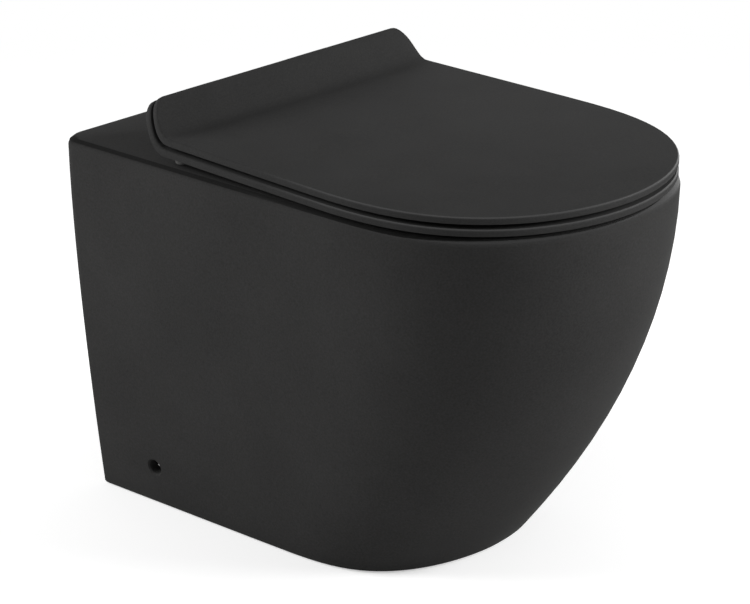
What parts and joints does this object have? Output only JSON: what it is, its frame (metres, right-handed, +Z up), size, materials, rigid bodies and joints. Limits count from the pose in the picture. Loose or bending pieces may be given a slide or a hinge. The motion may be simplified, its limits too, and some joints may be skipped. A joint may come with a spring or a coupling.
{
  "type": "floor-standing toilet",
  "caption": "Back-to-wall floor-standing toilet with a closed skirt, a rimless bowl, a slim seat and lid with a raised rear edge, and lift-off soft-close hinges.",
  "frame": {"origin": "on the floor, midway between the wall and the front edge of the seat, on the centre line", "axes": "+Z up, +Y towards the wall, -Y towards the user, +X to the right of someone looking at the wall"},
  "size_m": [0.3812, 0.565, 0.4426],
  "materials": {
    "china": "matt glaze",
    "duroplast": "matt",
    "buffer_rubber": "soft, translucent white",
    "black_rubber": "soft",
    "steel": "brushed",
    "brass": "turned",
    "block_plastic": "moulded",
    "damper_plastic": "moulded",
    "button_plastic": "moulded"
  },
  "bodies": {
    "bowl": {"pan": "china", "hinge_posts": "steel", "fixing_bolts": "steel", "expanding_sleeves": "black_rubber", "sleeve_nuts": "brass", "base_gaskets": "black_rubber"},
    "hinges": {"hinge_block_left": "block_plastic", "hinge_block_right": "block_plastic", "hinge_pin_left": "steel", "hinge_pin_right": "steel", "seat_damper": "damper_plastic", "lid_damper": "damper_plastic", "button_spring_left": "steel", "button_spring_right": "steel"},
    "seat_ring": {"seat": "duroplast", "seat_buffers_front": "buffer_rubber", "seat_buffers_rear": "buffer_rubber", "seat_arm_left": "steel", "seat_arm_right": "steel", "seat_arm_screws": "steel", "seat_damper_shaft": "steel"},
    "lid_plate": {"lid": "duroplast", "lid_buffers": "buffer_rubber", "lid_arm_left": "steel", "lid_arm_right": "steel", "lid_arm_screws": "steel", "lid_damper_shaft": "steel"},
    "button_left": {"release_button_left": "button_plastic"},
    "button_right": {"release_button_right": "button_plastic"}
  },
  "joints": [
    {"name": "seat_lift_off", "type": "slide", "parent": "bowl", "child": "hinges", "axis": [0, 0, 1], "range_m": [0, 0.035]},
    {"name": "seat_hinge", "type": "hinge", "parent": "hinges", "child": "seat_ring", "pos_m": [0, 0.1965, 0.41901], "axis": [-1, 0, 0], "range_deg": [0, 95]},
    {"name": "lid_hinge", "type": "hinge", "parent": "seat_ring", "child": "lid_plate", "pos_m": [0, 0.1965, 0.41901], "axis": [-1, 0, 0], "range_deg": [0, 95]},
    {"name": "release_left", "type": "slide", "parent": "hinges", "child": "button_left", "axis": [0, -1, 0], "range_m": [0, 0.002], "stiffness_N_per_m": 800, "deforming": ["button_spring_left"]},
    {"name": "release_right", "type": "slide", "parent": "hinges", "child": "button_right", "axis": [0, -1, 0], "range_m": [0, 0.002], "stiffness_N_per_m": 800, "deforming": ["button_spring_right"]}
  ]
}
